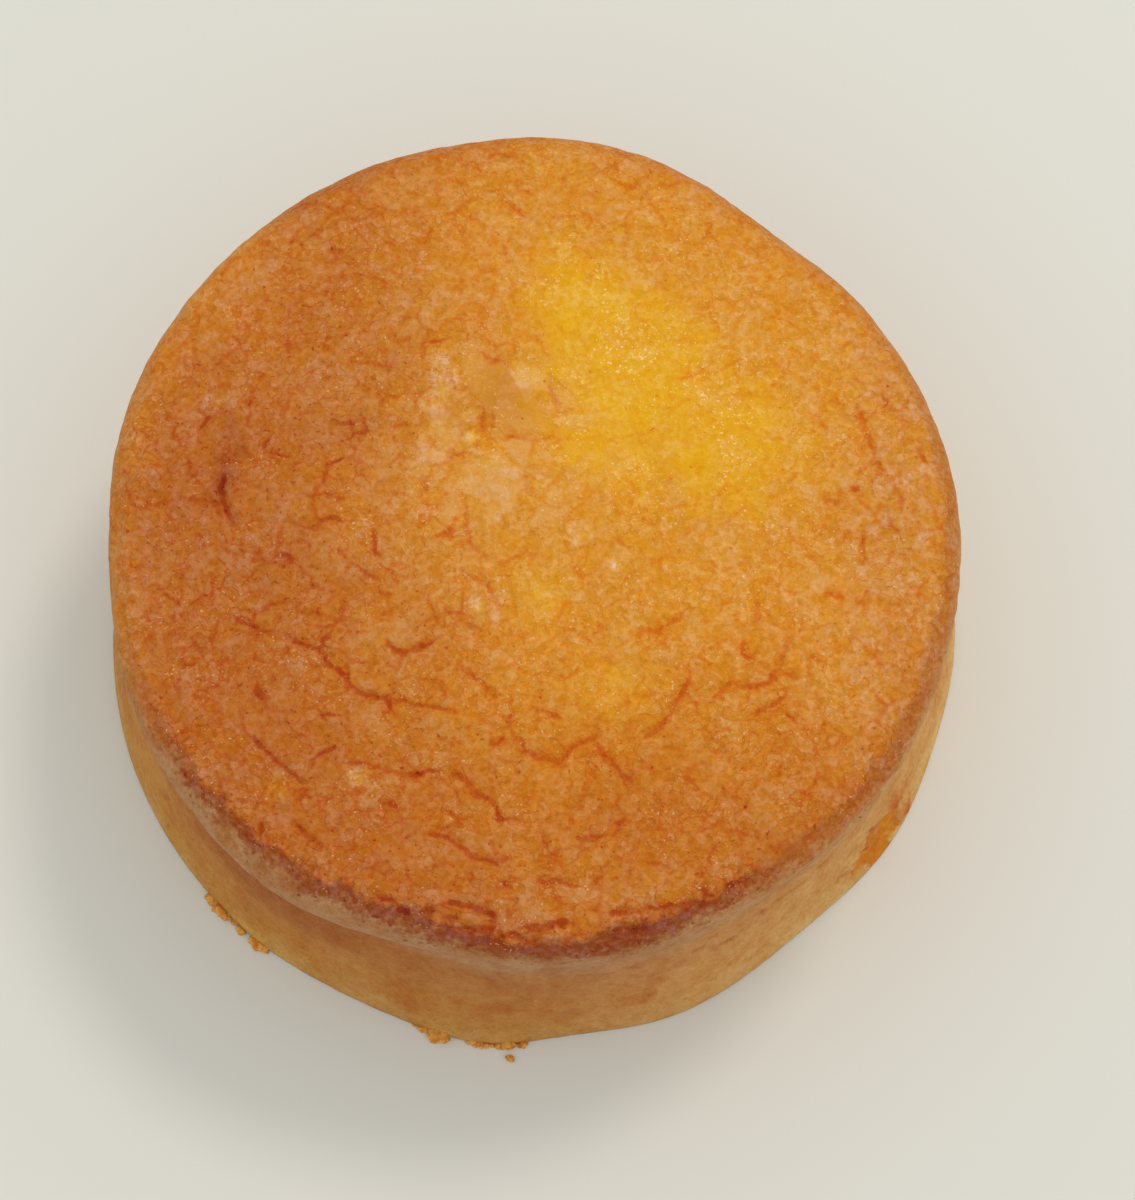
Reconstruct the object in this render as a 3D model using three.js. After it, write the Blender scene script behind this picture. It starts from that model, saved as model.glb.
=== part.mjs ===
// Uncut genoise sponge cake: one solid, baked in a round tin and standing on its flat base.
// Millimetres, +Z up. The origin is the middle of the base, and the near side faces -Y.
import * as THREE from 'three';

// Driving sizes: a 15 cm tin, with the top shrunk in a little as the cake cooled
const BASE_RADIUS = 75.5;
const LIP_RADIUS = 71.2;
const LIP_HEIGHT = 51;
const SHOULDER_RADIUS = 64.5;
const SHOULDER_HEIGHT = 57;
const DOME_RISE = 4;
const WAIST_RADIUS = 70.3;
const WAIST_HEIGHT = 40;
const FLARE_POWER = 1.3;
const EDGE_CHAMFER = 1.2;

// Fineness of the surface: rings over the top, then rings down the wall
const TOP_RINGS = 31;
const WALL_RINGS = 11;
const SECTORS = 6;
const COLUMNS = SECTORS * TOP_RINGS;

// Swells of the rim and of the base: angle in degrees from +X, millimetres out, spread in degrees
const LIP_SWELLS = [
  { at: 54, out: -3.3, spread: 11 },
  { at: 30, out: -1.6, spread: 15 },
  { at: 140, out: 0.4, spread: 20 },
  { at: 183, out: -1.4, spread: 10 },
  { at: 256, out: -1.2, spread: 8 },
  { at: 300, out: -0.9, spread: 9 },
  { at: 345, out: -0.5, spread: 10 },
];
const BASE_SWELLS = [
  { at: 22, out: -0.8, spread: 12 },
  { at: 68, out: -1.1, spread: 13 },
  { at: 120, out: 0.5, spread: 10 },
  { at: 152, out: -0.7, spread: 9 },
  { at: 198, out: 0.4, spread: 9 },
  { at: 244, out: -0.7, spread: 8 },
  { at: 263, out: 0.9, spread: 5 },
  { at: 277, out: -0.9, spread: 6 },
  { at: 310, out: -2.5, spread: 11 },
  { at: 341, out: -1.0, spread: 8 },
];

// Hollows in the wall: the crease under the lip, and the patch of skin torn off by the base
const WALL_HOLLOWS = [
  { at: 226, height: 41, depth: 2.0, spread: 20, tall: 5 },
  { at: 318, height: 9, depth: 0.8, spread: 5, tall: 4 },
];
const WALL_RELIEF_FADE = 6;

// Hollows in the top: the moist patch, and the dent beside the gouge on the left
const TOP_HOLLOWS = [
  { x: 22, y: 22, depth: 0.9, spread: 14 },
  { x: -52, y: 6, depth: 0.8, spread: 5 },
];

// Broad lumps of the crust: height, length of a wave over 2 pi, and how far the waves are bent
const LUMP_HEIGHT = 0.45;
const LUMP_LENGTH = 8.5;
const SWIRL = 1.3;
const SWIRL_LENGTH = 14.5;

// Cracks in the crust of the top, each from one end to the other
const CRACKS = [
  { depth: 1.5, path: [[-48, 15], [-51, 7], [-49, 0]] },
  { depth: 1.2, path: [[-49, -15], [-41, -19], [-34, -21], [-29, -27], [-22, -29], [-12, -32]] },
  { depth: 1.0, path: [[-34, -21], [-31, -17]] },
  { depth: 1.0, path: [[-23, -20], [-21, -22], [-15, -19]] },
  { depth: 0.8, path: [[-12, -8], [-7, -11], [-3, -17]] },
  { depth: 0.8, path: [[-33, 0], [-25, -1], [-25, -5]] },
  { depth: 1.2, path: [[-2, -35], [0, -38], [3, -40], [11, -35]] },
  { depth: 1.2, path: [[9, -37], [14, -42], [18, -42]] },
  { depth: 1.1, path: [[27, -23], [24, -28], [17, -37]] },
  { depth: 1.2, path: [[42, -18], [40, -25], [31, -28], [28, -31]] },
  { depth: 0.9, path: [[41, -27], [34, -34]] },
  { depth: 0.9, path: [[-45, -35], [-35, -44]] },
];
const GROOVE_HALF_WIDTH = 2.2;
const GROOVE_SNAP = 1.0;

// Points of the profile on the low dome, at a share of the shoulder's radius
function domePoint(share) {
  return new THREE.Vector2(share * SHOULDER_RADIUS, SHOULDER_HEIGHT + DOME_RISE * (1 - share ** 2));
}

// Points of the profile on the rounded shoulder, a quarter of an ellipse down to the lip
function shoulderPoint(angle) {
  return new THREE.Vector2(
    SHOULDER_RADIUS + (LIP_RADIUS - SHOULDER_RADIUS) * Math.cos(angle),
    LIP_HEIGHT + (SHOULDER_HEIGHT - LIP_HEIGHT) * Math.sin(angle),
  );
}

// Points of the profile on the wall, which flares from the waist to the base
function wallPoint(height) {
  const flare = (1 - height / WAIST_HEIGHT) ** FLARE_POWER;
  return new THREE.Vector2(WAIST_RADIUS + (BASE_RADIUS - WAIST_RADIUS) * flare, height);
}

// Profile from the middle of the top, over the shoulder and down the wall to the chamfer
const topProfile = [...[0, 0.5, 0.8, 1].map(domePoint), ...[Math.PI / 4, 0].map(shoulderPoint)];
const wallProfile = [WAIST_HEIGHT, 0.65 * WAIST_HEIGHT, 0.3 * WAIST_HEIGHT, EDGE_CHAMFER].map(wallPoint);
const profile = new THREE.SplineCurve([...topProfile, ...wallProfile]);
const topShare = new THREE.SplineCurve(topProfile).getLength() / profile.getLength();

const bell = (offset, spread) => Math.exp(-0.5 * (offset / spread) ** 2);

// Signed angle from one bearing to another, in degrees
function bearing(from, to) {
  return THREE.MathUtils.euclideanModulo(to - from + 180, 360) - 180;
}

function swollenRadius(radius, swells, degrees) {
  const swelling = swells.map((swell) => swell.out * bell(bearing(swell.at, degrees), swell.spread));
  return swelling.reduce((sum, out) => sum + out, radius);
}

function wallRelief(degrees, height) {
  const fade = THREE.MathUtils.smoothstep(height, 0, WALL_RELIEF_FADE);
  const hollow = WALL_HOLLOWS.reduce(
    (sum, h) => sum + h.depth * bell(bearing(h.at, degrees), h.spread) * bell(height - h.height, h.tall),
    0,
  );
  return -fade * hollow;
}

// Nearest point of a crack's path to a point of the top
function nearestOnPath(point, path) {
  const nearest = new THREE.Vector2();
  const candidate = new THREE.Vector2();
  let distance = Infinity;
  for (let i = 1; i < path.length; i += 1) {
    const start = new THREE.Vector2(...path[i - 1]);
    const run = new THREE.Vector2(...path[i]).sub(start);
    const share = THREE.MathUtils.clamp(point.clone().sub(start).dot(run) / run.lengthSq(), 0, 1);
    candidate.copy(start).addScaledVector(run, share);
    if (candidate.distanceTo(point) < distance) {
      distance = candidate.distanceTo(point);
      nearest.copy(candidate);
    }
  }
  return { distance, nearest };
}

// Points that lie close to a crack are drawn onto it, so that the groove has a clean bottom line
function drawToCracks(point) {
  for (const crack of CRACKS) {
    const { distance, nearest } = nearestOnPath(point, crack.path);
    if (distance < GROOVE_SNAP) {
      return nearest;
    }
  }
  return point;
}

function topRelief(point) {
  const { x, y } = point;
  const bentX = x / LUMP_LENGTH + SWIRL * Math.sin(y / SWIRL_LENGTH);
  const bentY = y / LUMP_LENGTH + SWIRL * Math.sin(x / SWIRL_LENGTH);
  const lumps = Math.sin(bentX) * Math.cos(bentY);
  const hollow = TOP_HOLLOWS.reduce(
    (sum, h) => sum + h.depth * bell(Math.hypot(x - h.x, y - h.y), h.spread),
    0,
  );
  const groove = CRACKS.reduce((deepest, crack) => {
    const { distance } = nearestOnPath(point, crack.path);
    return Math.max(deepest, crack.depth * Math.max(0, 1 - distance / GROOVE_HALF_WIDTH));
  }, 0);
  return LUMP_HEIGHT * lumps - hollow - groove;
}

// Point of the finished surface at a share of the profile's length and an angle about the middle
function surfacePoint(share, angle) {
  const nominal = profile.getPointAt(share);
  const along = profile.getTangentAt(share);
  const degrees = THREE.MathUtils.radToDeg(angle);
  const lipStretch = swollenRadius(LIP_RADIUS, LIP_SWELLS, degrees) / LIP_RADIUS;
  const baseStretch = swollenRadius(BASE_RADIUS, BASE_SWELLS, degrees) / BASE_RADIUS;
  const rise = THREE.MathUtils.smoothstep(nominal.y, 0, LIP_HEIGHT);
  const radius = nominal.x * THREE.MathUtils.lerp(baseStretch, lipStretch, rise);

  const upward = Math.max(0, along.x);
  const plan = new THREE.Vector2(radius * Math.cos(angle), radius * Math.sin(angle));
  const drawn = share < topShare ? drawToCracks(plan) : plan;
  const relief = upward * topRelief(drawn) + (1 - upward) * wallRelief(degrees, nominal.y);
  const outward = new THREE.Vector2(Math.cos(angle), Math.sin(angle));
  drawn.addScaledVector(outward, -along.y * relief);
  return new THREE.Vector3(drawn.x, drawn.y, nominal.y + along.x * relief);
}

function ringAt(share, count) {
  return Array.from({ length: count }, (_, i) => surfacePoint(share, (2 * Math.PI * i) / count));
}

// Rings of points from the middle of the top to the chamfered edge of the base
function cakeRings() {
  const rings = [[surfacePoint(0, 0)]];
  for (let i = 1; i <= TOP_RINGS; i += 1) {
    rings.push(ringAt((topShare * i) / TOP_RINGS, SECTORS * i));
  }
  for (let i = 1; i <= WALL_RINGS; i += 1) {
    rings.push(ringAt(topShare + ((1 - topShare) * i) / WALL_RINGS, COLUMNS));
  }
  const chamferShrink = (BASE_RADIUS - EDGE_CHAMFER) / BASE_RADIUS;
  rings.push(rings.at(-1).map(({ x, y }) => new THREE.Vector3(x * chamferShrink, y * chamferShrink, 0)));
  return rings;
}

// Triangles between two rings, taken one sector at a time so that the rings may differ in count
function joinRings(indices, inner, outer) {
  const innerSteps = Math.floor(inner.count / SECTORS);
  const outerSteps = outer.count / SECTORS;
  const innerAt = (sector, step) => inner.start + ((sector * innerSteps + step) % inner.count);
  const outerAt = (sector, step) => outer.start + ((sector * outerSteps + step) % outer.count);
  for (let sector = 0; sector < SECTORS; sector += 1) {
    for (let step = 0; step < outerSteps; step += 1) {
      indices.push(innerAt(sector, step), outerAt(sector, step), outerAt(sector, step + 1));
    }
    for (let step = 0; step < innerSteps; step += 1) {
      indices.push(innerAt(sector, step), outerAt(sector, step + 1), innerAt(sector, step + 1));
    }
  }
}

function cakeGeometry() {
  const rings = cakeRings();
  const points = rings.flat();
  const indices = [];
  let start = 0;
  let previous = null;
  for (const ring of rings) {
    const current = { start, count: ring.length };
    if (previous) {
      joinRings(indices, previous, current);
    }
    start += ring.length;
    previous = current;
  }

  const baseMiddle = points.length;
  points.push(new THREE.Vector3(0, 0, 0));
  for (let i = 0; i < COLUMNS; i += 1) {
    indices.push(baseMiddle, previous.start + ((i + 1) % COLUMNS), previous.start + i);
  }

  const geometry = new THREE.BufferGeometry().setFromPoints(points);
  geometry.setIndex(indices);
  geometry.computeVertexNormals();
  return geometry;
}

const crust = new THREE.MeshStandardMaterial({ color: 0xc67c38, roughness: 0.7, metalness: 0 });
const spongeCake = new THREE.Mesh(cakeGeometry(), crust);
spongeCake.name = 'sponge_cake';

const cake = new THREE.Group();
cake.add(spongeCake);

export default cake;
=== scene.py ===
import math
from itertools import product

import bmesh
import bpy
import numpy as np
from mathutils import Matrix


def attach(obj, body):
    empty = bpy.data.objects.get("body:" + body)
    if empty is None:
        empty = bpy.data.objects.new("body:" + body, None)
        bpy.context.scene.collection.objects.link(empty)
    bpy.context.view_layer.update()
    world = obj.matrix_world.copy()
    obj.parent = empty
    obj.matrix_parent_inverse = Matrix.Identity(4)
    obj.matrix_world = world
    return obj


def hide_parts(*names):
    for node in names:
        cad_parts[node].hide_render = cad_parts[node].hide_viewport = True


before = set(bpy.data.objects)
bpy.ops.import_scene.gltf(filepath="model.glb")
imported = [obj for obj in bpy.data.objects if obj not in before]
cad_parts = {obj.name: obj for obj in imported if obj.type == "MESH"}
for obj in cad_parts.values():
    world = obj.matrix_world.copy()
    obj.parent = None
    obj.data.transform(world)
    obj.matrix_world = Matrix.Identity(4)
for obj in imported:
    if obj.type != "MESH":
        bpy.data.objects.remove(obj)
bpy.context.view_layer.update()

# Shapes are worked out in millimetres and turned into metres when a mesh is made
MM = 0.001
NODE = "sponge_cake"

# Sizes of the cake's profile, and shares of its parts where points lie
BASE_RADIUS = 75.5
LIP_RADIUS = 71.2
LIP_HEIGHT = 51
SHOULDER_RADIUS = 64.5
SHOULDER_HEIGHT = 57
DOME_RISE = 4
WAIST_RADIUS = 70.3
WAIST_HEIGHT = 40
FLARE_POWER = 1.3
EDGE_CHAMFER = 1.2
DOME_SHARES = (0, 0.5, 0.8, 1)
WALL_SHARES = (1, 0.65, 0.3)
EDGE_SHARE = 0.3

# Fineness of the mesh
TOP_RINGS = 128
WALL_RINGS = 65
SECTORS = 6
COLUMNS = SECTORS * TOP_RINGS

# Swells of the rim and of the base: angle in degrees from +X, millimetres out, spread in degrees
LIP_SWELLS = [
    (54, -3.3, 11), (30, -1.6, 15), (140, 0.4, 20), (183, -1.4, 10),
    (232, 0.8, 9), (256, -1.2, 8), (300, -0.9, 9), (345, -0.5, 10),
]
BASE_SWELLS = [
    (22, -0.8, 12), (68, -1.1, 13), (120, 0.5, 10), (152, -0.7, 9), (198, 0.4, 9),
    (244, -0.7, 8), (263, 0.9, 5), (277, -0.9, 6), (310, -2.5, 11), (341, -1, 8),
]

# Crease under the lip at the left front, in degrees and millimetres
CREASE_AT = 233
CREASE_REACH = 30
CREASE_TAPER = 27
CREASE_TOP = 45.6
CREASE_STEEP = (-1.2, 3.4)
CREASE_FULL = 3
CREASE_FADE = 11
CREASE_DEPTH = 2.2

# Patch of skin torn off by the base: angle, height, spread in degrees and in height, depth
TORN_AT = 325.5
TORN_HEIGHT = 9
TORN_SPREAD = 5.2
TORN_TALL = 10
TORN_DEPTH = 0.9
TORN_EDGE = 0.25

# Dark bits that stick out at the torn patch: angle, height, size
TORN_BITS = [(328.6, 20, 1.3), (331.6, 6, 1.2), (322.5, 13, 0.8)]
BIT_STRETCH = 0.6

# Slits in the skin of the wall: angle, height, half length in degrees, half height
SLITS = [
    (313.3, 32, 1.5, 0.7), (308, 30.4, 2.9, 0.6), (303.4, 29.6, 0.5, 1.4), (317.4, 10.6, 1.5, 0.9),
    (293.2, 30, 1.1, 0.6), (295.3, 32.8, 0.8, 0.5), (297.5, 26, 1.6, 0.6), (280.3, 33, 1.4, 0.4),
    (283.8, 33.6, 1, 0.4),
]
SLIT_ENDS = 0.6
SLIT_SIDES = 0.7
SLIT_DEPTH = 0.6

# Relief of the wall's skin: wrinkles squeezed in height, fading towards the base
WRINKLE_SQUEEZE = (1, 1, 2.5)
WALL_RELIEF_FADE = 6

# Hollows in the top: place, depth and spread
TOP_HOLLOWS = [(22, 22, 0.9, 14), (-52, 6, 0.8, 5)]

# Broad lumps of the crust
LUMP_HEIGHT = 0.45
LUMP_LENGTH = 8.5
SWIRL = 1.3
SWIRL_LENGTH = 14.5

# Ragged ledge where the crust ends: height, and places over the lip it rises between
LEDGE_HEIGHT = 0.55
LEDGE_RANGE = (5.3, 6.5)

# Where the ledge lies higher, at the left front: angle, millimetres, spread in degrees
LEDGE_LIFTS = [(232, 1.6, 16)]

# Cracks of the top by group: depth, half width, strength of colour (partly painted shade in the groove),
# ways from end to end
GOUGE = (0.9, 0.32, 0.95, [[(-50, 10), (-51, 7), (-50, 3), (-48, -1)]])
BOLD_CRACKS = (0.5, 0.3, 1, [
    [(-40.7, -18.2), (-38.7, -19.2), (-36.9, -20.3), (-35.3, -20.9), (-34, -20.8), (-33.1, -22.6),
     (-32.3, -24), (-30.8, -24.7), (-29.9, -25.5), (-29.7, -27), (-28.2, -27.8), (-26.6, -28.9),
     (-24.6, -29.2), (-22.9, -29.2), (-22.8, -30.7), (-22.5, -32.2)],
    [(-34, -20.8), (-33.5, -19.5), (-32.7, -18.6)],
    [(-23.6, -19.2), (-23, -20.4), (-21.5, -21.6), (-20.1, -22.1), (-18.8, -21.2), (-16.7, -20.6),
     (-14.7, -19.6)],
])
OPEN_CRACKS = (0.4, 0.25, 0.92, [
    [(-12.1, -7.9), (-9.5, -9.3), (-7.2, -10.9), (-6.2, -13), (-4.6, -15.9)],
    [(-25.9, 0.6), (-25.5, -2.7), (-25.8, -4.7), (-24.1, -6.6)],
    [(11, -34.6), (9.8, -35.9), (6.7, -37.5), (4.6, -39.7), (1, -39), (-1, -38), (-2, -35)],
    [(9.8, -35.9), (11.8, -38.7), (13.8, -40.8), (15.4, -42.6), (17.4, -42.8)],
    [(26.1, -23.9), (24.7, -27.7), (23.1, -30.5), (21.2, -33.5), (19.9, -34.6), (17.5, -36.3)],
    [(41.9, -17.8), (40.2, -22.5), (39.8, -24.3), (38.5, -26.2), (36.8, -27.2), (34.8, -27.2), (32, -27.1),
     (30.9, -27.6), (28.3, -29.6)],
    [(-45.6, -34.6), (-42.9, -37.2), (-40.4, -39.7), (-37.8, -41.6), (-35.8, -43.7)],
    [(-17, -51), (-13, -52), (-9, -55), (-6, -56), (-2, -55)],
    [(-13, -41), (-10, -43), (-9, -45), (-6, -46), (-5, -49), (-1, -49)],
    [(0.8, -58.8), (1.9, -59.1), (3.8, -58.8), (5.6, -59.2), (7.5, -59.5)],
    [(53.5, 21.4), (54.1, 19.6), (54.3, 17.5), (55.6, 15.4), (56, 13.2), (56.5, 11.5), (57.1, 10.1),
     (58.4, 8.4)],
])
HAIRLINES = (0.25, 0.2, 0.9, [
    [(40.6, -26.4), (41.2, -28.8), (39.5, -29.7), (36.8, -31.3), (34.7, -33)],
    [(40.5, -31.5), (43.6, -33.7)], [(-14.5, 10), (-12.9, 11.3), (-10.6, 11.9)],
    [(-22.9, -29.2), (-21.1, -29.7), (-18.7, -30.4), (-15.9, -30.8), (-13.5, -31.4), (-10.6, -32.2)],
    [(-49, -15), (-45, -17.5), (-40.7, -18.2)], [(40, -25), (43, -26)], [(-4.9, -58.8), (-3.3, -59.9)],
    [(0, -31), (5, -33)], [(-12, -24), (-8, -27), (-5, -30)], [(-3, -32), (-4, -34)],
    [(-37.6, -49), (-36.2, -50.8), (-34.1, -52.5), (-32.2, -53.3)], [(-44, -26), (-44, -28), (-42, -31)],
    [(-17.7, -16.7), (-16, -16.3), (-14.1, -15.5), (-10, -15)],
    [(-29, -6.7), (-27.8, -7.9), (-26.7, -8.9), (-25.2, -9.3), (-24.2, -9.8)],
    [(17.2, -20.3), (17.5, -18.6), (20.3, -18.1), (23.5, -16.5), (24.5, -15.3)],
    [(44.1, 18.7), (46.8, 19.1), (47.9, 17.4), (49.3, 16)], [(56.5, 11.5), (54.5, 10.4), (53.5, 9)],
    [(58.2, 23.7), (58.5, 22.3), (58.1, 20.1)], [(63.5, 13.2), (64.8, 11.2)], [(60.3, 5.4), (60.2, 3.3)],
    [(58.2, 1.9), (58.8, -0.1), (60.1, -1.4)], [(52.1, 5.9), (53.7, 6.6)], [(47.4, 4.1), (50.1, 4.1)],
    [(-39, 0), (-35, -1), (-33, 1), (-29, 0)], [(-43, 15), (-44, 13), (-39, 11)],
    [(-34, 18), (-31, 17), (-28, 18), (-27, 16), (-31, 14)], [(-31, 11), (-33, 10)],
    [(-42, -6), (-40, -5), (-36, -9)], [(-55, -19), (-53, -22)], [(-53, 19), (-55, 17)],
    [(-18, 31), (-13, 32)], [(-9.2, 30), (-6.4, 28), (-3.2, 27)], [(3, 26), (3, 23), (5, 20)],
    [(3, 15), (0, 14), (-5, 15)], [(-8, 20), (-8, 15)], [(-18, 8), (-17, 5)], [(-1, 8), (-1, 5)],
    [(-11.2, 4.4), (-10.5, -1.3), (-10.3, -3.5), (-8.7, -5.2), (-6.2, -6.9)],
    [(-16, -3), (-12, -1)], [(-5, 49), (-4, 45)], [(-4, 57), (-1, 54)], [(23, 25), (27, 26), (30, 28)],
    [(2, -51), (3, -55)], [(8, -52), (11, -52)], [(13, -50), (16, -49)], [(-7, -37), (-4, -36)],
    [(37, -13), (36, -14), (37, -17)], [(34, -19), (34, -22), (36, -23)], [(47, -12), (51, -12)],
    [(54, -1), (54, -7)], [(-30, -40), (-27, -40), (-19, -42), (-14, -41)], [(-24, -46), (-21, -47)],
    [(-35, -39), (-31, -37)], [(-31, -32), (-34, -32)],
])
# Lines under the ragged ledges of the rim, drawn as cracks; their dark colour is partly painted shade under
# the ledges
RIM_CRACKS = (0.7, 0.3, 1, [
    [(-24.7, -60.2), (-23.6, -61.5), (-22.3, -61.8), (-21.1, -62.8), (-19.5, -63.5), (-18.7, -64)],
    [(-17.6, -63.5), (-16.5, -63.2), (-14.9, -63.4)], [(-14.4, -63.9), (-12.8, -64.3), (-11.4, -64.5)],
    [(-15.5, -62), (-11.9, -62.3), (-9.3, -62.8), (-7.3, -63.4), (-6, -64.1), (-5, -65.1)],
    [(-12.8, -65.7), (-11.5, -66), (-10, -66.4), (-8, -66.3), (-5.7, -66.2), (-5, -65.8)],
    [(-5, -65.8), (-5, -67.1), (-4.4, -67.5)], [(-3.6, -67.1), (-2.2, -67.4), (-1.4, -67.3)],
    [(-1.5, -65.3), (-0.6, -66.1), (1.2, -66.1), (2.3, -65.7), (4, -65.4), (5.9, -65.2), (7.8, -65.4)],
    [(12.3, -63.6), (13.8, -63.9), (15.7, -63.4)], [(24, -62.1), (25.6, -61.9), (26.9, -61.6)],
    [(18.1, -62.7), (19.7, -62.9), (21.3, -62.5), (23.2, -62.5)],
    [(30.4, -59.3), (32.2, -59), (33.6, -58.4), (35.3, -57.8)],
    [(12.3, -66.5), (14.5, -66.3), (17.3, -66.4), (19.9, -66)],
    [(26.9, -60.1), (28, -60.6), (29.2, -61.2)], [(-43, -49), (-43, -51)],
])
CRACK_GROUPS = [GOUGE, BOLD_CRACKS, OPEN_CRACKS, HAIRLINES, RIM_CRACKS]

# How the cracks taper and fade, along them and away from their middle lines
CRACK_TIP = 0.3
CRACK_TAPER = 2.6
CRACK_TAPER_SHARE = 0.25
CRACK_REACH = 1.3
CRACK_FADE = 0.7
CRACK_APART = (0.1, 0.7)
CRACK_CORE = (0.6, 0.3)
CRACK_TONE = 0.8
GROOVE_SPREAD = 0.55

# Noise in the shape and the colours by place: height, wave length in millimetres, layers, seed
CRACK_WANDER_NOISES = [(0.25, 2.2, 2, 11), (0.25, 2.2, 2, 21)]
CRACK_TONE_NOISE = (0.5, 3, 2, 15)
CRACK_WIDTH_NOISE = (0.6, 4, 2, 18)
FINE_NOISE = (0.35, 4.5, 3, 41)
LEDGE_NOISE = (1.3, 5.5, 3, 86)
WRINKLE_NOISE = (0.2, 7, 3, 61)
CREASE_NOISE = (1.2, 9, 2, 63)
TORN_NOISE = (0.6, 4, 3, 65)
SLIT_NOISE = (0.5, 2.5, 2, 67)
SKIN_GRAIN_NOISE = (0.1, 2.2, 2, 71)
TORN_CRUMB_NOISE = (0.5, 2, 2, 75)
MOIST_EDGE_NOISE = (0.45, 7, 4, 81)
MOIST_TONE_NOISE = (0.3, 4, 2, 82)
BLOT_EDGE_NOISE = (1, 4, 4, 83)
CALM_EDGE_NOISE = (0.25, 4, 3, 84)
SKIN_LEVEL_NOISE = (1.5, 6, 3, 85)
SKIN_TONE_NOISE = (1, 2.4, 3, 88)
BAKE_NOISE = (0.14, 13, 3, 91)
CRUMB_NOISE = (0.5, 0.9, 3, 101)
NOISE_CELLS = 256
NOISE_GAIN = 1.6


def smooth(value, low, high):
    """Eased rise from 0 at one value to 1 at another, which may be the lower of the two."""
    share = np.clip((value - low) / (high - low), 0, 1)
    return share * share * (3 - 2 * share)


def bell(offset, spread):
    return np.exp(-0.5 * (offset / spread) ** 2)


def bearing(start, end):
    return (end - start + 180) % 360 - 180


def gradient_noise(points, seed):
    """Smooth noise between about -1 and 1 at points given in units of its own grid."""
    rng = np.random.default_rng(seed)
    order = rng.permutation(NOISE_CELLS)
    slopes = rng.normal(size=(NOISE_CELLS, 3))
    slopes /= np.linalg.norm(slopes, axis=1, keepdims=True)
    cell = np.floor(points).astype(int)
    inside = points - cell
    fade = inside**3 * (inside * (inside * 6 - 15) + 10)
    total = np.zeros(len(points))
    for corner in product((0, 1), repeat=3):
        x, y, z = ((cell + corner) % NOISE_CELLS).T
        across = order[(order[x] + y) % NOISE_CELLS]
        slope = slopes[order[(across + z) % NOISE_CELLS]]
        weight = np.where(corner, fade, 1 - fade).prod(axis=1)
        total += weight * ((inside - corner) * slope).sum(axis=1)
    return NOISE_GAIN * total


def layered_noise(points, height, length, layers, seed):
    """Noise of a given height and wave length in millimetres, with finer layers of half the height each."""
    layer_noise = [gradient_noise(points * 2**i / length, seed + i) / 2**i for i in range(layers)]
    return height * sum(layer_noise)


def spline(points, steps):
    """Smooth curve through the points, with each one passed at the slope of its neighbours."""
    points = np.array(points, float)
    padded = np.vstack([points[:1], points, points[-1:]])
    t = np.linspace(0, 1, steps, endpoint=False)[:, None]
    spans = []
    for before, start, end, after in zip(padded, padded[1:], padded[2:], padded[3:]):
        slope_in = (end - before) / 2
        slope_out = (after - start) / 2
        cubic = 2 * start - 2 * end + slope_in + slope_out
        square = -3 * start + 3 * end - 2 * slope_in - slope_out
        spans.append(cubic * t**3 + square * t**2 + slope_in * t + start)
    return np.vstack(spans + [points[-1:]])


class Profile:
    """Outline of half a slice, from the middle of the top to the base, by share of its length."""

    STEPS = 60

    def __init__(self):
        dome = [
            (share * SHOULDER_RADIUS, SHOULDER_HEIGHT + DOME_RISE * (1 - share**2))
            for share in DOME_SHARES
        ]
        shoulder = [
            (
                SHOULDER_RADIUS + (LIP_RADIUS - SHOULDER_RADIUS) * math.cos(angle),
                LIP_HEIGHT + (SHOULDER_HEIGHT - LIP_HEIGHT) * math.sin(angle),
            )
            for angle in (math.pi / 4, 0)
        ]
        flare = BASE_RADIUS - WAIST_RADIUS
        wall = [
            (WAIST_RADIUS + flare * (1 - height / WAIST_HEIGHT) ** FLARE_POWER, height)
            for height in [share * WAIST_HEIGHT for share in WALL_SHARES] + [EDGE_CHAMFER]
        ]
        corner = EDGE_SHARE * EDGE_CHAMFER
        edge = [(BASE_RADIUS - corner, corner), (BASE_RADIUS - EDGE_CHAMFER, 0)]
        curve = spline(dome + shoulder + wall + edge, self.STEPS)
        runs = np.linalg.norm(np.diff(curve, axis=0), axis=1)
        lengths = np.concatenate([[0], np.cumsum(runs)])
        self.length = lengths[-1]
        self.share = lengths / self.length
        self.radius, self.height = curve.T
        self.along = np.gradient(curve, lengths, axis=0)
        self.along /= np.linalg.norm(self.along, axis=1, keepdims=True)
        self.lip_share = self.share[self.STEPS * (len(dome) + len(shoulder) - 1)]

    def at(self, share):
        """Radius, height, and the outward and upward parts of the way along the profile."""
        columns = (self.radius, self.height, self.along[:, 0], self.along[:, 1])
        return [np.interp(share, self.share, column) for column in columns]


def swelling(swells, degrees):
    """Sum of soft swells at places around the cake."""
    return sum(out * bell(bearing(at, degrees), spread) for at, out, spread in swells)


def distance_to_path(x, y, path):
    """Distance from each point to a path, below 0 on its right, and the nearest place as a share of it."""
    distance = np.full(len(x), np.inf)
    share = np.zeros(len(x))
    spans = len(path) - 1
    for i, ((x0, y0), (x1, y1)) in enumerate(zip(path, path[1:])):
        run_x, run_y = x1 - x0, y1 - y0
        t = np.clip(((x - x0) * run_x + (y - y0) * run_y) / (run_x**2 + run_y**2), 0, 1)
        side = np.where(run_x * (y - y0) < run_y * (x - x0), -1, 1)
        here = side * np.hypot(x - x0 - t * run_x, y - y0 - t * run_y)
        nearer = np.abs(here) < np.abs(distance)
        distance = np.where(nearer, here, distance)
        share = np.where(nearer, (i + t) / spans, share)
    return distance, share


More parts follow.
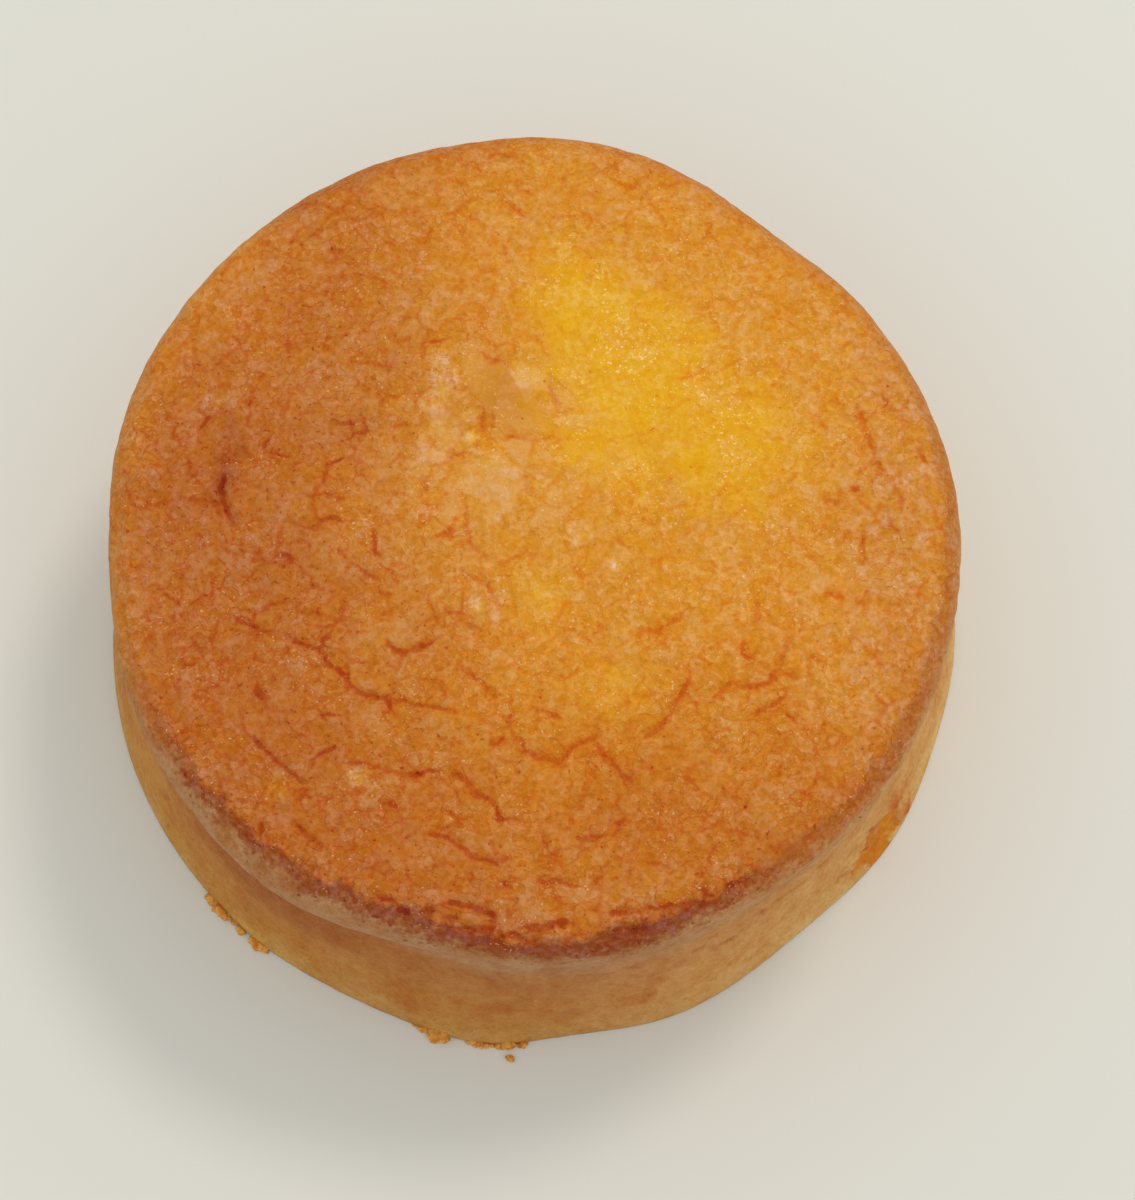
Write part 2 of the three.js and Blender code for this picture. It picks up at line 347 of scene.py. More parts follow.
class Surface:
    """Points of the cake's surface with the fields that its colours are made from."""

    def __init__(self, profile):
        top_share = profile.lip_share
        wall_share = 1 - top_share
        rings = [(top_share * i / TOP_RINGS, max(1, SECTORS * i)) for i in range(TOP_RINGS + 1)]
        rings += [(top_share + wall_share * (i + 1) / WALL_RINGS, COLUMNS) for i in range(WALL_RINGS)]
        shares, self.counts = zip(*rings)
        share = np.repeat(shares, self.counts)
        self.over_lip = (top_share - share) * profile.length
        angle = np.concatenate([np.arange(count) * 2 * math.pi / count for count in self.counts])
        self.degrees = np.degrees(angle)
        radius, self.height, self.along_out, self.along_up = profile.at(share)
        lip_stretch = (LIP_RADIUS + swelling(LIP_SWELLS, self.degrees)) / LIP_RADIUS
        base_stretch = (BASE_RADIUS + swelling(BASE_SWELLS, self.degrees)) / BASE_RADIUS
        rise = smooth(self.height, 0, LIP_HEIGHT)
        self.radius = radius * (base_stretch + (lip_stretch - base_stretch) * rise)
        self.outward = np.stack([np.cos(angle), np.sin(angle)], axis=1)
        self.x, self.y = (self.radius[:, None] * self.outward).T
        self.upward = np.clip(self.along_out, 0, 1)
        self.place = np.stack([self.x, self.y, self.height], axis=1)
        relief = self.upward * self.top_relief() + (1 - self.upward) * self.wall_relief()
        plan = np.stack([self.x, self.y], axis=1) - (self.along_up * relief)[:, None] * self.outward
        self.points = np.column_stack([plan, self.height + self.along_out * relief])

    def noise(self, pattern):
        return layered_noise(self.place, *pattern)

    def find_cracks(self):
        """Depth of the cracks' grooves, with the side, width and colour of the nearest crack kept, that
        colour partly painted shade in the groove.
        """
        warp = np.stack([self.noise(pattern) for pattern in CRACK_WANDER_NOISES])
        x, y = np.stack([self.x, self.y]) + warp
        self.crack_side = np.full(len(x), CRACK_REACH)
        self.crack_width = np.zeros(len(x))
        self.crack_colour_and_shade = np.zeros(len(x))
        second = np.full(len(x), 2 * CRACK_REACH)
        groove = np.zeros(len(x))
        for depth, half_width, strength, paths in CRACK_GROUPS:
            for path in paths:
                distance, share = distance_to_path(x, y, path)
                length = sum(math.dist(start, end) for start, end in zip(path, path[1:]))
                taper_length = min(CRACK_TAPER, CRACK_TAPER_SHARE * length)
                taper = smooth(length * np.minimum(share, 1 - share), -CRACK_TIP, taper_length)
                groove = np.maximum(groove, depth * taper * bell(distance, GROOVE_SPREAD))
                nearer = np.abs(distance) < np.abs(self.crack_side)
                second = np.where(nearer, np.abs(self.crack_side), np.minimum(second, np.abs(distance)))
                self.crack_side = np.where(nearer, distance, self.crack_side)
                self.crack_width = np.where(nearer, half_width * taper, self.crack_width)
                self.crack_colour_and_shade = np.where(nearer, strength * np.sqrt(taper), self.crack_colour_and_shade)
        away = np.abs(self.crack_side)
        self.crack_colour_and_shade *= smooth(away, CRACK_REACH, CRACK_FADE * CRACK_REACH)
        self.crack_colour_and_shade *= np.maximum(smooth(second - away, *CRACK_APART), smooth(away, *CRACK_CORE))
        self.crack_colour_and_shade *= CRACK_TONE + self.noise(CRACK_TONE_NOISE)
        self.crack_width *= 1 + self.noise(CRACK_WIDTH_NOISE)
        return groove

    def top_relief(self):
        """Height of the top's crust over its profile, with its fine relief and ragged edge kept."""
        groove = self.find_cracks()
        self.fine = self.noise(FINE_NOISE)
        self.edge = self.over_lip + self.noise(LEDGE_NOISE) - swelling(LEDGE_LIFTS, self.degrees)
        ledge = LEDGE_HEIGHT * smooth(self.edge, *LEDGE_RANGE)
        bent_x = self.x / LUMP_LENGTH + SWIRL * np.sin(self.y / SWIRL_LENGTH)
        bent_y = self.y / LUMP_LENGTH + SWIRL * np.sin(self.x / SWIRL_LENGTH)
        lumps = LUMP_HEIGHT * np.sin(bent_x) * np.cos(bent_y)
        hollow = sum(d * bell(np.hypot(self.x - hx, self.y - hy), s) for hx, hy, d, s in TOP_HOLLOWS)
        return lumps - hollow - groove + ledge + self.fine

    def find_crease(self):
        """Depth of the crease, with where it is near and what lies under its top kept."""
        away = np.abs(bearing(CREASE_AT, self.degrees))
        self.by_crease = smooth(CREASE_REACH - away, 0, CREASE_TAPER)
        below = CREASE_TOP - self.height + self.noise(CREASE_NOISE)
        self.under_crease = self.by_crease * smooth(below, *CREASE_STEEP)
        fade = np.exp(-np.clip(below - CREASE_FULL, 0, None) / CREASE_FADE)
        return CREASE_DEPTH * self.under_crease * fade

    def find_torn(self):
        """Where the skin is torn off, and the bits that stick out there."""
        around = bearing(TORN_AT, self.degrees) / TORN_SPREAD
        away = np.hypot(around, (self.height - TORN_HEIGHT) / TORN_TALL)
        self.torn = smooth(1 - away + self.noise(TORN_NOISE), 0, TORN_EDGE)
        self.bits = np.zeros(len(self.x))
        for at, level, size in TORN_BITS:
            across = np.radians(bearing(at, self.degrees)) * BASE_RADIUS
            up = BIT_STRETCH * (self.height - level)
            self.bits = np.maximum(self.bits, bell(np.hypot(across, up), size))

    def find_slits(self):
        """Where the skin has slits."""
        wave = self.noise(SLIT_NOISE)
        self.slit = np.zeros(len(self.x))
        for at, level, half_length, half_height in SLITS:
            along = bearing(at, self.degrees) / half_length
            across = (self.height - level + wave) / half_height
            self.slit = np.maximum(self.slit, bell(along, SLIT_ENDS) * bell(across, SLIT_SIDES))

    def wall_relief(self):
        """How far the wall's skin stands out, with the marks on it kept for the colours."""
        crease = self.find_crease()
        self.find_torn()
        self.find_slits()
        wrinkles = layered_noise(self.place * WRINKLE_SQUEEZE, *WRINKLE_NOISE)
        grain = self.noise(SKIN_GRAIN_NOISE)
        crumb = self.torn * self.noise(TORN_CRUMB_NOISE) + self.bits
        marks = crease + TORN_DEPTH * self.torn + SLIT_DEPTH * self.slit
        return smooth(self.height, 0, WALL_RELIEF_FADE) * (wrinkles + grain + crumb - marks)

    def triangles(self):
        starts = np.concatenate([[0], np.cumsum(self.counts)])
        faces = []
        for inner, outer, inner_start, outer_start in zip(self.counts, self.counts[1:], starts, starts[1:]):
            inner_steps, outer_steps = inner // SECTORS, outer // SECTORS
            for sector in range(SECTORS):
                inside = inner_start + (sector * inner_steps + np.arange(inner_steps + 1)) % inner
                outside = outer_start + (sector * outer_steps + np.arange(outer_steps + 1)) % outer
                faces.append(np.stack([inside[:outer_steps], outside[:-1], outside[1:]], axis=1))
                faces.append(np.stack([inside[:-1], outside[1 : inner_steps + 1], inside[1:]], axis=1))
        middle = np.full(COLUMNS, starts[-1])
        rim = starts[-2]
        step = np.arange(COLUMNS)
        faces.append(np.stack([middle, rim + (step + 1) % COLUMNS, rim + step], axis=1))
        return np.vstack(faces)


def to_linear(colour):
    """Linear colour of one written as 0 to 255 screen values."""
    share = np.array(colour) / 255
    return np.where(share <= 0.04045, share / 12.92, ((share + 0.055) / 1.055) ** 2.4)


def mix(under, over, mask):
    return under + (to_linear(over) - under) * mask[:, None]


def tint(colour, factor, mask):
    """Colour multiplied by a factor for each channel where the mask is 1."""
    return colour * (1 + (np.array(factor) - 1) * mask[:, None])


# Crust colours as they look in even light, and tints that multiply them by channel; the crease brown and the
# upper front and slit tints hold painted shade, and the pale skin painted sheen
GOLDEN = (215, 145, 59)
BROWN = (188, 112, 48)
MOIST_YELLOW = (228, 169, 14)
MOIST_PALE = (224, 160, 54)
PALE_FLAKE = (221, 166, 104)
SKIN_TAN = (190, 125, 50)
SKIN_LIGHT = (211, 151, 78)
SKIN_PALE_AND_SHEEN = (176, 127, 84)
CREASE_SHADE_BROWN = (164, 92, 33)
TORN_YELLOW = (213, 129, 8)
TORN_BROWN = (196, 92, 14)
SLIT_TINT_AND_SHADE = (0.72, 0.52, 0.25)
FRONT_TINT = (0.95, 0.92, 1.1)
UPPER_FRONT_SHADE = (0.9, 0.84, 0.9)
LOW_TINT = (1.08, 1.3, 1.6)
SMEAR_BROWN = (150, 66, 30)

# Baking of the top: slant and range of its pale part, browner front and edge
PALE_SLANT = 0.15
PALE_RANGE = (-48, 8)
FRONT_RANGE = (15, 62)
FRONT_BAKE = 0.7
EDGE_RANGE = (12, 2)
EDGE_BAKE = 0.5
LEFT_EDGE_AT = 165
LEFT_EDGE_RANGE = (55, 25)
LEFT_EDGE_PALE = 1.1
FINE_BAKE = 0.2

# Paler and browner patches of the top: place, spread along X and Y, strength
BAKE_PATCHES = [
    (-27, 34, 10, 12, 0.3), (-28, 20, 6, 5, 0.15), (-10, 8, 9, 9, -0.2), (59, 0, 5, 30, 0.4),
    (32, -40, 14, 11, 0.2), (-16, 62, 16, 8, 0.2), (-50, 40, 9, 9, -0.45), (-4, 21, 4, 4, 0.8),
]

# Deeper orange patches of the top: place, spread along X and Y, strength
DEEP_PATCHES = [
    (12, -38, 24, 14, 1), (-4, 21, 3.5, 3.5, 0.9), (-25, 18, 6, 6, 0.6), (-9, 60, 14, 6, 0.5),
    (5, -4, 8, 8, 0.4),
]
DEEP_TINT = (1, 0.94, 0.58)

# Moist patches: place, half lengths, turn in degrees, strength
MOIST_PATCHES = [
    (18, 24, 13, 9, -50, 0.8), (9, 36, 7, 10, 25, 0.7), (29, 16, 14, 8, -25, 0.58), (16, 14, 9, 7, 0, 0.5),
    (1, -13, 4, 4, 0, 0.3), (14, -28, 6, 5, 0, 0.25),
]
MOIST_EDGE = 1
MOIST_PALE_RANGE = (0.1, 0.7)

# Faint yellow all round the moist patches: place, spread along X and Y, strength
MOIST_GLOW = (20, 20, 22, 24, 0.33)

# Soft brown smears: place, half lengths, turn in degrees, strength
SMEARS = [
    (-50.5, 9, 2.2, 5, -15, 0.5), (-49, 16, 1.6, 4, 20, 0.35), (-57, 4, 4, 9, 0, 0.12),
    (-44, -12, 5, 10, 25, 0.06),
]
SMEAR_RAGGED = 0.5
SMEAR_EDGE = 0.8

# Pale dry flakes: place, half lengths, turn in degrees, strength, softness of the edge
FLAKES = [
    (-0.2, 25, 3.6, 2.2, -38, 0.95, 0.15), (-14.5, 25.2, 4.4, 2.6, -60, 0.5, 0.3),
    (-16.4, 20.2, 2.5, 2, 0, 0.7, 0.3), (-6.3, 6.4, 5.2, 4.4, 0, 0.65, 0.3),
    (2.7, 5.1, 2.5, 2, 0, 0.6, 0.2), (7.9, -1.9, 2.2, 2.2, 25, 0.8, 0.15),
    (-10.3, 18.4, 1.5, 1.1, 0, 0.75, 0.25), (-15.4, 13.9, 3, 3.8, 0, 0.5, 0.35),
    (-5, -13, 2, 3, 0, 0.35, 0.3), (60, 2, 9, 32, 0, 0.25, 1),
]
FLAKE_RAGGED = 0.55

# Smooth plates of the crust: place, half lengths, turn in degrees, strength
CALM_PLATES = [
    (-4.1, 21.9, 8.4, 3.7, -42, 1), (-0.2, 25, 3.1, 1.8, -38, 0.7), (-6.3, 6.4, 4.6, 4, 0, 0.6),
]
CALM_EDGE = 0.15

# Flaky part of the top: place, spread along X and Y
FLAKY_PART = (-6, 10, 12, 12)

# Small spots: place, half length, colour; those at (-9.6, 14.3), (-8.8, -14.4) and (13.7, -7.5) are painted
# glints, the rest yellow and pale spots of the crust
SPOTS_AND_GLINTS = [
    (-9.6, 14.3, 0.9, (236, 196, 110)), (-40, -43.7, 1.9, (203, 134, 38)),
    (-28, -42.4, 1.1, (214, 160, 92)), (-8.8, -14.4, 0.8, (230, 186, 136)),
    (13.7, -7.5, 0.8, (234, 192, 132)), (-52.6, 21.4, 1.3, (200, 140, 92)),
    (-50.4, 22.8, 0.8, (200, 140, 92)),
]
SPOT_STRENGTH = 0.7
SPOT_RAGGED = 0.8
SPOT_EDGE = 0.6

# Dark rim, by degrees from the front: where it fades at each side, and where it is thinner; it is browned
# crust with painted shade, darkest at the front, which is turned from the lamp
FRONT_AT = 268
RIM_LEFT = (66, 48)
RIM_FAR_LEFT = (130, 90)
RIM_FAR_SHARE = 0.12
RIM_RIGHT = (125, 95)
RIM_THIN = (22, 44)
RIM_THINNING = 0.65

# Rises and dips of the skin's upper edge: angle, millimetres, spread in degrees
SKIN_RISES = [(226, 1.4, 16), (272, -0.6, 16)]

# Tan of the wall: its lighter right and back, greyer front with painted shade under the lip, and paler foot
RIGHT_AT = 345
RIGHT_RANGE = (0.2, 0.9)
BACK_RANGE = (0, 0.6)
BACK_LIGHT = 0.45
FRONT_SPREAD = 28
UPPER_RANGE = (16, 32)
LOW_RANGE = (14, 2)

# Pale band under the lip, paler papery skin with painted sheen: heights where it starts and is full, their
# shifts by place, strength
BAND_START = 32
BAND_FULL = 42
BAND_START_LIFT = 9
BAND_FULL_LIFT = 4
BAND_BACK_DROP = 8
BAND_STRENGTH = 0.9
BAND_LIGHT_LOSS = 0.4

# Where the pale band is weaker, at the left: angle, share lost, spread in degrees
BAND_LOSSES = [(186, 0.7, 14)]

# Marks on the wall: heights the painted shade under the crease fades between, strengths, unevenness
CREASE_SHADE = (16, 31)
CREASE_SHADE_STRENGTH = 1.1
CREASE_SHADE_UNEVEN = 0.2
TORN_STRENGTH = 1.05
TORN_UNEVEN = 0.4
TORN_BORDER = 2.4


def patch_mask(cake, shape, ragged, edge):
    """Soft ragged blot on the top: 1 inside and 0 outside."""
    x, y, long, wide, turn = shape
    turned = math.radians(turn)
    away_x = (cake.x - x) * math.cos(turned) + (cake.y - y) * math.sin(turned)
    away_y = (cake.y - y) * math.cos(turned) - (cake.x - x) * math.sin(turned)
    inside = 1 - np.hypot(away_x / long, away_y / wide) + ragged
    return smooth(inside, -edge, edge) * cake.upward


def bell_mask(cake, x, y, long, wide):
    """Soft round blot: 1 at its middle, with its spread along X and Y."""
    return bell(cake.x - x, long) * bell(cake.y - y, wide)


def strongest_patch(cake, patches, pattern, edge):
    """Strength at each point of the strongest of several blots."""
    ragged = cake.noise(pattern)
    masks = [strength * patch_mask(cake, shape, ragged, edge) for *shape, strength in patches]
    return np.max(masks, axis=0)


def moist_share(cake):
    """Where the top is moist and yellow."""
    moist = strongest_patch(cake, MOIST_PATCHES, MOIST_EDGE_NOISE, MOIST_EDGE)
    *shape, strength = MOIST_GLOW
    glow = strength * bell_mask(cake, *shape) * cake.upward
    return np.clip(glow + moist * (1 + cake.noise(MOIST_TONE_NOISE)), 0, 1)


def bake_share(cake):
    """How brown the top is baked: 1 at the left and the front, 0 at the middle and the right."""
    pale = smooth(cake.x + PALE_SLANT * cake.y, *PALE_RANGE)
    pale *= 1 - FRONT_BAKE * smooth(-cake.y, *FRONT_RANGE)
    brown = 1 - pale + cake.noise(BAKE_NOISE)
    for *shape, strength in BAKE_PATCHES:
        brown += strength * bell_mask(cake, *shape)
    left_edge = smooth(np.abs(bearing(LEFT_EDGE_AT, cake.degrees)), *LEFT_EDGE_RANGE)
    brown += smooth(cake.over_lip, *EDGE_RANGE) * (EDGE_BAKE - LEFT_EDGE_PALE * left_edge)
    return np.clip(brown - FINE_BAKE * cake.fine, 0, 1)


def top_colours(cake, brown, moist):
    """Browned crust of the top with its pale flakes, orange patches, brown smears and spots, a few of them
    painted glints.
    """
    colour = mix(to_linear(GOLDEN), BROWN, brown)
    colour = mix(colour, MOIST_PALE, smooth(moist, *MOIST_PALE_RANGE))
    ragged = cake.noise(BLOT_EDGE_NOISE)
    for *shape, strength, edge in FLAKES:
        flake = patch_mask(cake, shape, FLAKE_RAGGED * ragged, edge)
        colour = mix(colour, PALE_FLAKE, strength * flake)
    for *shape, strength in DEEP_PATCHES:
        colour = tint(colour, DEEP_TINT, strength * bell_mask(cake, *shape))
    for *shape, strength in SMEARS:
        smear = patch_mask(cake, shape, SMEAR_RAGGED * ragged, SMEAR_EDGE)
        colour = mix(colour, SMEAR_BROWN, strength * smear)
    # Spots, of which a few are painted glints
    for x, y, size, spot_colour in SPOTS_AND_GLINTS:
        spot = patch_mask(cake, (x, y, size, size, 0), SPOT_RAGGED * ragged, SPOT_EDGE)
        colour = mix(colour, spot_colour, SPOT_STRENGTH * spot)
    return colour


def skin_colours(cake):
    """Tan skin of the wall with its pale band and painted sheen, painted shade in the crease and on the
    upper front, a torn patch, and slits darkened partly with painted shade.
    """
    level = cake.height + cake.noise(SKIN_LEVEL_NOISE)
    right = smooth(np.cos(np.radians(cake.degrees - RIGHT_AT)), *RIGHT_RANGE)
    back = smooth(np.sin(np.radians(cake.degrees)), *BACK_RANGE)
    light = np.maximum(right, BACK_LIGHT * back)
    colour = mix(to_linear(SKIN_TAN), SKIN_LIGHT, light)
    front = bell(bearing(FRONT_AT, cake.degrees), FRONT_SPREAD)
    colour = tint(colour, FRONT_TINT, front)
    # Painted shade on the upper front wall under the lip
    colour = tint(colour, UPPER_FRONT_SHADE, front * smooth(level, *UPPER_RANGE))
    colour = tint(colour, LOW_TINT, smooth(level, *LOW_RANGE))

    # Pale band: paler skin with painted sheen on the lip's bulge
    start = BAND_START + BAND_START_LIFT * cake.by_crease - BAND_BACK_DROP * back
    band = smooth(level, start, BAND_FULL + BAND_FULL_LIFT * cake.by_crease)
    kept = 1 - swelling(BAND_LOSSES, cake.degrees)
    band *= (BAND_STRENGTH - BAND_LIGHT_LOSS * light) * kept
    colour = mix(colour, SKIN_PALE_AND_SHEEN, band)

    uneven = cake.noise(SKIN_TONE_NOISE)
    # Painted shade in the crease under the lip's overhang
    shade = cake.under_crease * smooth(level, *CREASE_SHADE)
    colour = mix(colour, CREASE_SHADE_BROWN, np.clip(shade * (CREASE_SHADE_STRENGTH + CREASE_SHADE_UNEVEN * uneven), 0, 1))
    torn = np.clip(cake.torn * (TORN_STRENGTH + TORN_UNEVEN * uneven), 0, 1)
    colour = mix(colour, TORN_YELLOW, torn)
    border = TORN_BORDER * cake.torn * (1 - cake.torn)
    colour = mix(colour, TORN_BROWN, np.maximum(cake.bits, border))
    # Slits are darkened, partly with painted shade in them
    return tint(colour, SLIT_TINT_AND_SHADE, cake.slit)


def dark_rim_and_shade(cake):
    """How strong the dark line at the rim is, by the way around: browned crust with painted shade, strongest
    at the front.
    """
    around = bearing(FRONT_AT, cake.degrees)
    left = np.maximum(smooth(-around, *RIM_LEFT), RIM_FAR_SHARE * smooth(-around, *RIM_FAR_LEFT))
    return left * smooth(around, *RIM_RIGHT) * (1 - RIM_THINNING * smooth(around, *RIM_THIN))


def crust_fields(cake):
    """Numbers for the fine details, and colours of the top and the wall, at each point."""
    moist = moist_share(cake)
    brown = bake_share(cake)
    rise = swelling(SKIN_RISES, cake.degrees)
    flaky = bell_mask(cake, *FLAKY_PART)
    details = {
        "crust_edge": np.stack([cake.edge, dark_rim_and_shade(cake), rise], axis=1),
        "crust_bake": np.stack([brown, moist, flaky], axis=1),
        "crust_cracks": np.stack([cake.crack_side, cake.crack_width, cake.crack_colour_and_shade], axis=1),
    }
    colours = {"crust_colour": top_colours(cake, brown, moist), "skin_colour": skin_colours(cake)}
    return details, colours


# The shader's noise: middle, spread of one layer, spreads that it is held within
NOISE_MIDDLE = 0.5
LAYER_SPREAD = 0.135
NOISE_REACH = 3


class Graph:
    """Adds shader nodes to a material, with inputs given as values or as sockets of nodes."""

    def __init__(self, name):
        self.material = bpy.data.materials.new(name)
        self.material.use_nodes = True
        self.tree = self.material.node_tree
        self.tree.nodes.clear()

    def add(self, kind, inputs, **settings):
        node = self.tree.nodes.new(kind)
        for name, value in settings.items():
            setattr(node, name, value)
        for name, value in inputs.items():
            if isinstance(value, bpy.types.NodeSocket):
                self.tree.links.new(value, node.inputs[name])
            else:
                node.inputs[name].default_value = value
        return node

    def attribute(self, name, output):
        return self.add("ShaderNodeAttribute", {}, attribute_name=name).outputs[output]

    def parts(self, name):
        """The three numbers that a vector attribute holds."""
        return self.add("ShaderNodeSeparateXYZ", {"Vector": self.attribute(name, "Vector")}).outputs

    def place(self):
        """Place on the object in millimetres."""
        metres = self.add("ShaderNodeTexCoord", {}).outputs["Object"]
        return self.vector("DIVIDE", metres, (MM, MM, MM))

    def stained(self, colour, share, factor):
        """Colour multiplied by a factor for each channel where the share is 1."""
        return self.vector("MULTIPLY", colour, self.blend(share, WHITE, factor))

    def vector(self, operation, *values):
        node = self.add("ShaderNodeVectorMath", dict(enumerate(values)), operation=operation)
        return node.outputs["Vector"]

    def math(self, operation, *values):
        node = self.add("ShaderNodeMath", dict(enumerate(values)), operation=operation)
        return node.outputs["Value"]

    def ramp(self, value, low, high, first, last, **settings):
        """Value carried from one range to another and held at its ends."""
        inputs = {"Value": value, "From Min": low, "From Max": high, "To Min": first, "To Max": last}
        return self.add("ShaderNodeMapRange", inputs, **settings).outputs["Result"]

    def ease(self, value, low, high):
        """Value carried smoothly to 0 at one end and 1 at the other."""
        return self.ramp(value, low, high, 0, 1, interpolation_type="SMOOTHSTEP")

    def noise(self, place, length, detail, roughness):
        """Noise of spread 1 about 0, with a wave length in the units of the place."""
        layers = [roughness**i for i in range(round(detail) + 1)]
        reach = NOISE_REACH * (LAYER_SPREAD * math.hypot(*layers) / sum(layers))
        inputs = {"Vector": place, "Scale": 1 / length, "Detail": detail, "Roughness": roughness}
        share = self.add("ShaderNodeTexNoise", inputs).outputs["Fac"]
        return self.ramp(share, NOISE_MIDDLE - reach, NOISE_MIDDLE + reach, -NOISE_REACH, NOISE_REACH)

    def product(self, *values):
        total = values[0]
        for value in values[1:]:
            total = self.math("MULTIPLY", total, value)
        return total

    def lumps(self, place, shift, length):
        """Flat lumps, below 0 in the soft dips among them, and narrow valleys, 1 at their bottoms."""
        pattern = self.noise(self.vector("ADD", place, shift), length, *LUMP_DETAIL)
        tone = self.math("SUBTRACT", self.ease(pattern, *LUMP_RANGE), LUMP_MIDDLE)
        return tone, self.ease(self.math("ABSOLUTE", pattern), VALLEY_EDGE, 0)

    def plates(self, place, spacing):
        """Plates with bent borders: distance to the border in millimetres, and a random number for each."""
        inputs = {"Vector": place, "Scale": PLATE_BEND / spacing, "Detail": PLATE_DETAIL}
        shift = self.add("ShaderNodeTexNoise", inputs).outputs["Color"]
        reach = PLATE_REACH * spacing
        bent = self.vector("MULTIPLY_ADD", shift, (reach, reach, reach), place)
        inputs = {"Vector": bent, "Scale": 1 / spacing}
        edges = self.add("ShaderNodeTexVoronoi", inputs, voronoi_dimensions="2D", feature="DISTANCE_TO_EDGE")
        cells = self.add("ShaderNodeTexVoronoi", inputs, voronoi_dimensions="2D", feature="F1")
        border = self.math("MULTIPLY", edges.outputs["Distance"], spacing)
        return border, self.add("ShaderNodeSeparateXYZ", {"Vector": cells.outputs["Color"]}).outputs["X"]

    def flecks(self, place, shift, length, amount):
        """Ragged flecks, 1 inside and 0 outside, that shrink away as the amount goes to 0."""
        pattern = self.noise(self.vector("ADD", place, shift), length, *FLECK_DETAIL)
        level = self.math("MULTIPLY_ADD", amount, -FLECK_SHARE, FLECK_LEVEL)
        return self.ease(self.math("SUBTRACT", pattern, level), 0, FLECK_EDGE)

    def tinted(self, colour, pattern, share):
        """Colour made lighter and darker by a pattern, by its own share in each channel."""
        factor = self.vector("MULTIPLY_ADD", pattern, share, (1, 1, 1))
        return self.vector("MULTIPLY", colour, self.vector("MAXIMUM", factor, DARKEST))

    def blend(self, share, under, over):
        node = self.add("ShaderNodeMix", {0: share, 6: under, 7: over}, data_type="RGBA")
        return node.outputs[2]

    def finish(self, **inputs):
        named = {name.replace("_", " "): value for name, value in inputs.items()}
        shader = self.add("ShaderNodeBsdfPrincipled", named)
        self.add("ShaderNodeOutputMaterial", {"Surface": shader.outputs["BSDF"]})
        return self.material


# Noise in the material: wave length in millimetres, detail, roughness
FRAY_NOISE = (1.6, 2, 0.7)
SPECKLE_NOISE = (1, 1, 0.6)
PATCH_NOISE = (7, 2, 0.5)
MOTTLE_NOISE = (14, 3, 0.7)
GRIT_NOISE = (0.8, 1, 1)
SHAKE_NOISE = (1.5, 3, 0.6)
BREAK_NOISE = (4, 1, 0.5)
STREAK_NOISE = (9, 4, 0.9)
BLOT_NOISE = (6, 2, 0.6)
CRUMB_TONE_NOISE = (1.2, 3, 0.7)

# Edge between the top's crust and the wall's skin: reach of its fraying, places over the lip; the rim's
# brown carries painted shade too
FRAY_REACH = 0.35
SPECKLE_REACH = 0.6
WALL_RANGE = (4.9, 0.6)
DARK_RANGE = (7.6, 5)
RIM_BROWN_AND_SHADE = (148, 76, 41)

# Grain of the top's crust: shares for each channel, heights in millimetres
MOTTLE_TINT = (0.008, 0.03, 0.06)
GRIT_TINT = (0.04, 0.04, 0.06)
GRIT_HEIGHT = 0.02

# Grain and cracks weaken where the top is moist or smooth: two shares, and the strength at each
MOIST_DRYNESS = (0, 0.9, 1, 0.5)
CALM_ROUGHNESS = (0, 1, 1, 0.3)

# Lumps of the crust: length, height, shares of their colour (paler tops and oranger dips, partly painted
# light and shade), strength of the painted shade in the valleys between them
LUMPS = [
    (8, 0.1, (0.01, 0.06, 0.15), 0),
    (4.4, 0.08, (0.015, 0.09, 0.5), 0.8),
    (2.4, 0.06, (0.03, 0.15, 0.9), 1),
    (1.3, 0.05, (0.08, 0.2, 0.85), 0.9),
    (0.7, 0.025, (0.1, 0.14, 0.3), 0.4),
]
LUMP_DETAIL = (1, 0.35)
LUMP_RANGE = (-1.8, 0.8)
LUMP_MIDDLE = 0.64
LUMP_STEP = (19, 7, 3)
VALLEY_EDGE = 0.36
VALLEY_SHADE_ORANGE = (0.98, 0.8, 0.34, 1)
VALLEY_SHADE_BROWN = (0.95, 0.7, 0.42, 1)
VALLEY_DEPTH = 0.03
VALLEY_PATCHES = (-2.5, 0.4)
MOIST_FULL = 0.95
MOIST_SPREAD = 0.36
MOIST_GRAIN = 0.6

# Long cracks: how far they shake, the soft edge and the wider glow of their colour, depth; the darker colour
# in them is partly painted shade
CRACK_SHAKE = 0.15
CRACK_SOFTNESS = (-0.39, 0.1)
CRACK_HALO = (-1.2, 0)
CRACK_DEPTH = 0.05
CRACK_TINT_AND_SHADE = (0.76, 0.38, 0.3, 1)
CRACK_ORANGE_AND_SHADE = (0.94, 0.6, 0.25, 1)
HALO_TINT = (0.98, 0.8, 0.55, 1)

# Plates of the crust: spacing, width and strength of the crackle between them, whose darker orange is partly
# painted shade, paleness
PLATES = [(5.6, 0.75, 1, 0.5), (2.8, 0.7, 0.5, 0.4)]
PLATE_BEND = 2.2
PLATE_DETAIL = 2
PLATE_REACH = 0.4
PLATE_SHIFT = (13, 47, 5)
PLATE_PALE = (221, 165, 96)
PLATE_CHANCE = (0.5, 0.95)
PLATE_EDGE = (0, 0.5)
CRACKLE_BREAKS = (-0.4, 1.4)
CRACKLE_ORANGE_AND_SHADE = (0.96, 0.74, 0.36, 1)
CRACKLE_BROWN_AND_SHADE = (0.91, 0.62, 0.38, 1)

